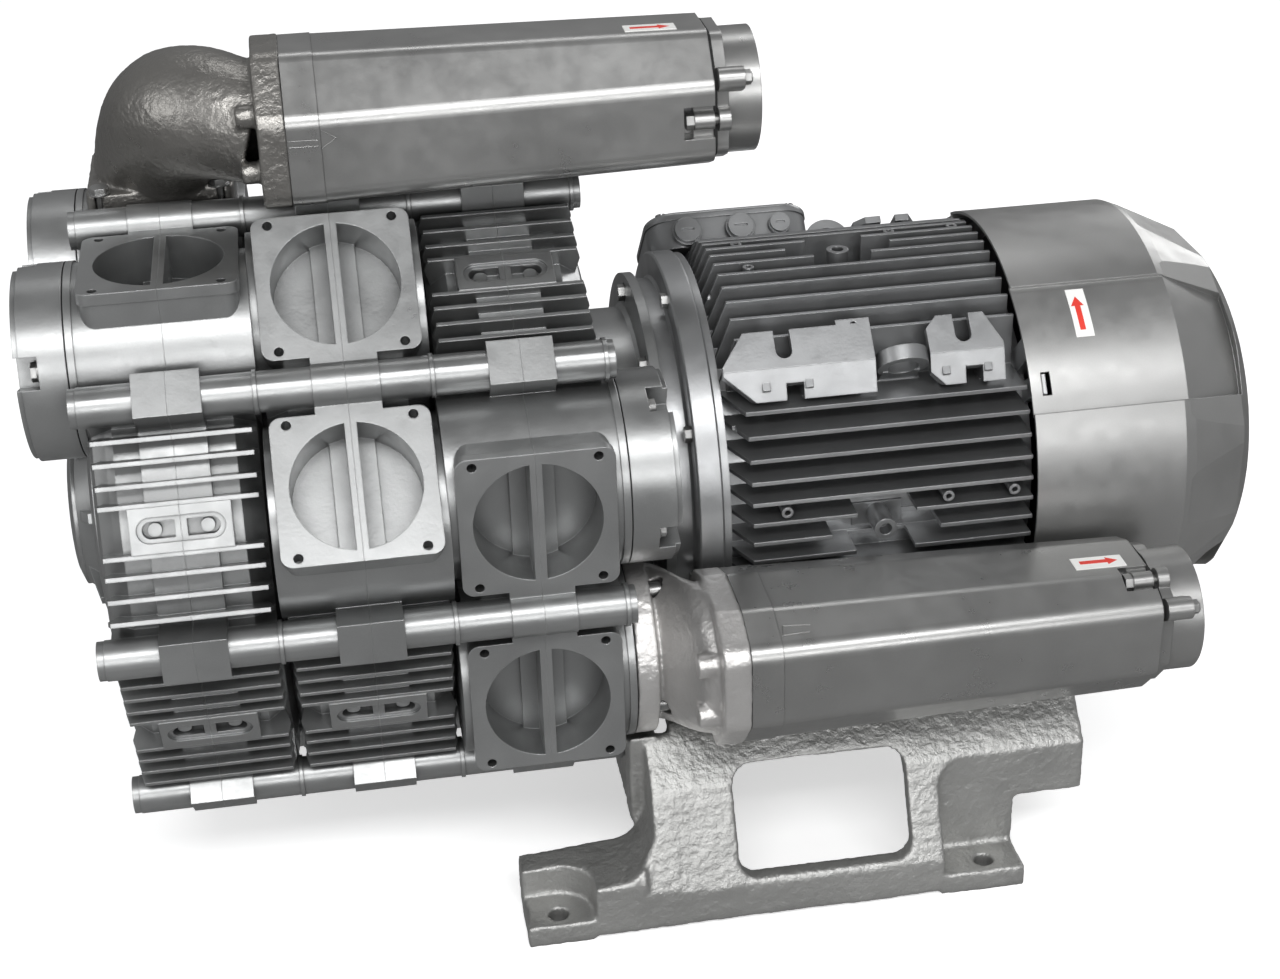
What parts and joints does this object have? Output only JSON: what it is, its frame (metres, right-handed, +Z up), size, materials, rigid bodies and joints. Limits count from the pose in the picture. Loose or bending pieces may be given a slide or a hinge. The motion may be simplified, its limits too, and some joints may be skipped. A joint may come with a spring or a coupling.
{
  "type": "side channel blower",
  "caption": "Multi-stage side channel blower: finned ring casings on one motor shaft, feet under the motor, cast elbow and neck leading to long inlet and outlet silencers.",
  "frame": {"origin": "centre of the four foot holes, on the floor plane under the base", "axes": "+X along the machine axis from the blower end to the fan end, +Z up, -Y is the side of the outlet silencer"},
  "size_m": [0.962, 0.5911, 0.6665],
  "materials": {
    "casing_cast": "satin silver-grey paint over cast aluminium",
    "pipe_cast": "rough sand-cast, silver-grey paint",
    "base_cast": "rough sand-cast, silver-grey paint",
    "silencer_skin": "smooth extruded, silver-grey paint",
    "motor_cast": "die-cast, silver-grey paint",
    "cowl_sheet": "pressed sheet, silver-grey paint",
    "fastener": "zinc plated",
    "machined_steel": "turned",
    "bearing_steel": "ground and polished",
    "impeller_cast": "machined casting",
    "lamination": "stacked sheet",
    "copper_wire": "enamelled copper winding",
    "black_gasket": "matt",
    "foam": "open absorber foam",
    "perforated_sheet": "perforated",
    "black_plastic": "moulded",
    "label_film": "white film with a red arrow"
  },
  "bodies": {
    "housing": {"stage_1_left_shell": "casing_cast", "stage_1_right_shell": "casing_cast", "stage_2_left_shell": "casing_cast", "stage_2_right_shell": "casing_cast", "stage_3_left_shell": "casing_cast", "stage_3_right_shell": "casing_cast", "inlet_silencer_mid_plate": "silencer_skin", "inlet_silencer_shell": "silencer_skin", "inlet_silencer_lining": "foam", "inlet_silencer_tube": "perforated_sheet", "inlet_silencer_end_cap": "silencer_skin", "outlet_silencer_mid_plate": "silencer_skin", "outlet_silencer_shell": "silencer_skin", "outlet_silencer_lining": "foam", "outlet_silencer_tube": "perforated_sheet", "outlet_silencer_end_cap": "silencer_skin", "port_cap_stage_1_rear": "casing_cast", "port_cap_stage_1_front": "casing_cast", "port_cap_stage_3": "casing_cast", "tie_rods": "machined_steel", "tie_rod_nuts": "fastener", "axial_port_bolts": "fastener", "inlet_elbow": "pipe_cast", "outlet_neck": "pipe_cast", "inlet_elbow_bolts": "fastener", "silencer_bolts": "fastener", "silencer_end_gaskets": "black_gasket", "port_gaskets": "black_gasket", "end_cover": "casing_cast", "end_bearing_cap": "casing_cast", "shaft_seal_rings": "black_plastic", "bearing_outer_rings": "bearing_steel", "lantern_flange": "casing_cast", "drive_end_shield": "motor_cast", "flange_bolts": "fastener", "motor_housing": "motor_cast", "lifting_lugs": "motor_cast", "fan_end_shield": "motor_cast", "stator_core": "lamination", "stator_windings": "copper_wire", "fan_cowl": "cowl_sheet", "cowl_screws": "fastener", "terminal_box": "motor_cast", "terminal_box_lid": "motor_cast", "terminal_box_screws": "fastener", "terminal_block": "black_plastic", "blanking_plugs": "black_plastic", "base": "base_cast", "motor_foot_bolts": "fastener", "direction_labels": "label_film"},
    "rotor": {"shaft": "machined_steel", "impeller_1": "impeller_cast", "impeller_2": "impeller_cast", "impeller_3": "impeller_cast", "rotor_core": "lamination", "cooling_fan": "black_plastic", "bearing_inner_rings": "bearing_steel", "shaft_spacers_and_nut": "machined_steel"},
    "ball_set": {"bearing_balls_and_cages": "bearing_steel"}
  },
  "joints": [
    {"name": "rotor_spin", "type": "hinge", "parent": "housing", "child": "rotor", "pos_m": [-0.3, 0, 0.285], "axis": [1, 0, 0], "continuous": true},
    {"name": "ball_spin", "type": "hinge", "parent": "housing", "child": "ball_set", "pos_m": [-0.3, 0, 0.285], "axis": [1, 0, 0], "continuous": true}
  ],
  "couplings": [
    {"joint": "ball_spin", "follows": "rotor_spin", "ratio": 0.39}
  ]
}
